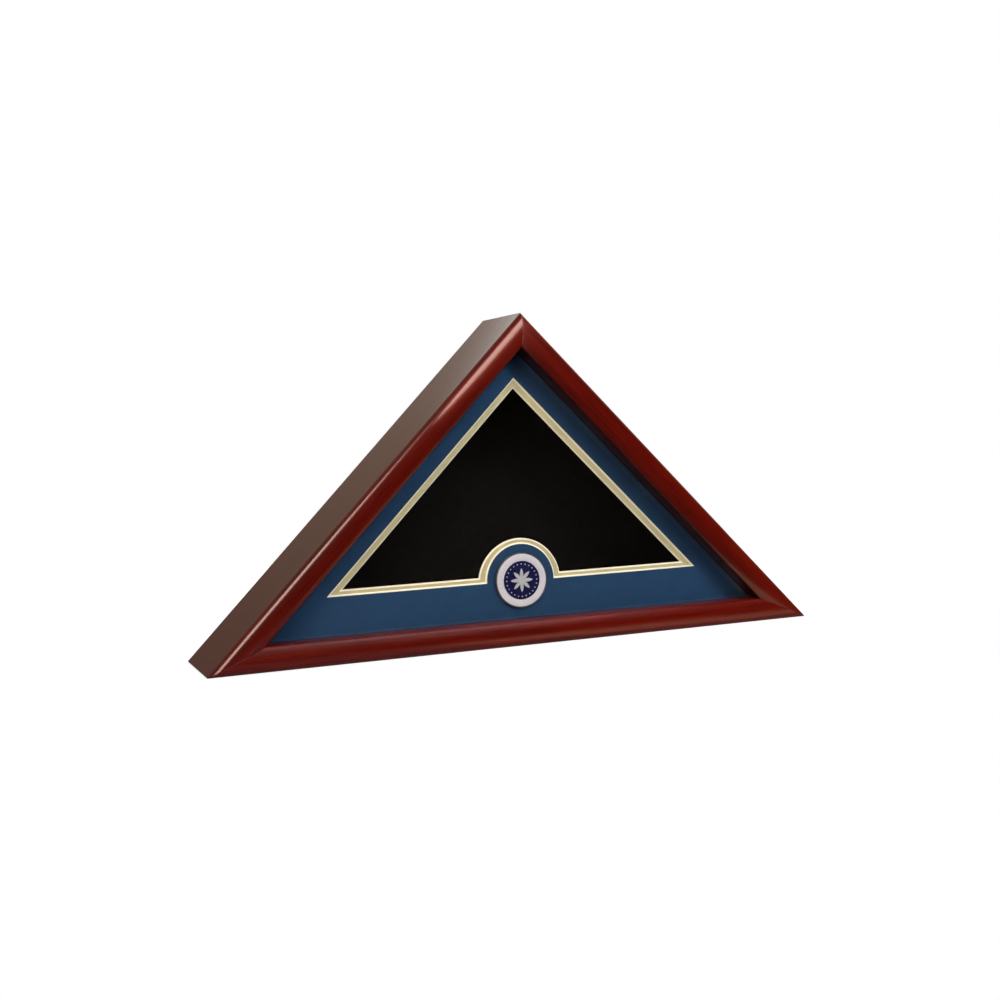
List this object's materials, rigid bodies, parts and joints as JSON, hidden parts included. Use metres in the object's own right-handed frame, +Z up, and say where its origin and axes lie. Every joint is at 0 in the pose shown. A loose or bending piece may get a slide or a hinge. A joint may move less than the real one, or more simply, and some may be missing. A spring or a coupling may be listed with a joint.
{
  "type": "folded flag display case",
  "caption": "Triangular wooden display case for a folded flag, with glass front, double mat, round medallion and a lift-out back panel held by turn buttons.",
  "frame": {"origin": "middle of the base, at the lowest point and halfway through the depth over the back fittings", "axes": "+X to the right along the base as seen from the front, +Y to the back, +Z up"},
  "size_m": [0.65, 0.1122, 0.33],
  "materials": {
    "mahogany": "satin lacquer over dark red mahogany",
    "nail_steel": "plain steel",
    "glass": "clear float glass",
    "spacer_black": "matte black",
    "blue_mat": "matte blue paper face on cream board",
    "gold_mat": "pale metallic gold paper face on cream board",
    "pad_foam": "foam tape",
    "medallion_metal": "bright nickel plate on a die casting",
    "white_enamel": "white enamel with fine radial reeding",
    "navy_enamel": "navy enamel",
    "stop_black": "black paint",
    "panel_board": "brown hardboard",
    "black_felt": "black felt",
    "button_brass": "brass plate",
    "hanger_steel": "zinc plate"
  },
  "bodies": {
    "case": {"left_rail": "mahogany", "right_rail": "mahogany", "bottom_rail": "mahogany", "corner_nails": "nail_steel", "glass_pane": "glass", "left_spacer": "spacer_black", "right_spacer": "spacer_black", "bottom_spacer": "spacer_black", "top_mat": "blue_mat", "under_mat": "gold_mat", "medallion_pad": "pad_foam", "medallion_body": "medallion_metal", "medallion_ring": "white_enamel", "medallion_field": "navy_enamel", "left_stop": "stop_black", "right_stop": "stop_black", "bottom_stop": "stop_black", "stop_brads": "nail_steel", "button_screws": "button_brass", "hanger_straps": "hanger_steel", "hanger_screws": "hanger_steel"},
    "back_panel": {"back_panel": "panel_board", "panel_felt": "black_felt"},
    "bottom_left_button": {"bottom_left_button": "button_brass"},
    "bottom_right_button": {"bottom_right_button": "button_brass"},
    "left_lower_button": {"left_lower_button": "button_brass"},
    "left_upper_button": {"left_upper_button": "button_brass"},
    "right_lower_button": {"right_lower_button": "button_brass"},
    "right_upper_button": {"right_upper_button": "button_brass"},
    "left_d_ring": {"left_d_ring": "hanger_steel"},
    "right_d_ring": {"right_d_ring": "hanger_steel"}
  },
  "joints": [
    {"name": "back_panel_slide", "type": "slide", "parent": "case", "child": "back_panel", "axis": [0, 1, 0], "range_m": [0, 0.09]},
    {"name": "bottom_left_button_turn", "type": "hinge", "parent": "case", "child": "bottom_left_button", "pos_m": [-0.15, 0.05292, 0.0065], "axis": [0, -1, 0], "range_deg": [0, 90]},
    {"name": "bottom_right_button_turn", "type": "hinge", "parent": "case", "child": "bottom_right_button", "pos_m": [0.15, 0.05292, 0.0065], "axis": [0, 1, 0], "range_deg": [0, 90]},
    {"name": "left_lower_button_turn", "type": "hinge", "parent": "case", "child": "left_lower_button", "pos_m": [-0.23617, 0.05292, 0.08094], "axis": [0, 1, 0], "range_deg": [0, 90]},
    {"name": "left_upper_button_turn", "type": "hinge", "parent": "case", "child": "left_upper_button", "pos_m": [-0.0515, 0.05292, 0.26844], "axis": [0, -1, 0], "range_deg": [0, 90]},
    {"name": "right_lower_button_turn", "type": "hinge", "parent": "case", "child": "right_lower_button", "pos_m": [0.23617, 0.05292, 0.08094], "axis": [0, -1, 0], "range_deg": [0, 90]},
    {"name": "right_upper_button_turn", "type": "hinge", "parent": "case", "child": "right_upper_button", "pos_m": [0.0515, 0.05292, 0.26844], "axis": [0, 1, 0], "range_deg": [0, 90]},
    {"name": "left_d_ring_swing", "type": "hinge", "parent": "case", "child": "left_d_ring", "pos_m": [-0.09998, 0.054, 0.21793], "axis": [0.7125, 0, -0.7017], "range_deg": [0, 180]},
    {"name": "right_d_ring_swing", "type": "hinge", "parent": "case", "child": "right_d_ring", "pos_m": [0.09998, 0.054, 0.21793], "axis": [0.7125, 0, 0.7017], "range_deg": [0, 180]}
  ]
}
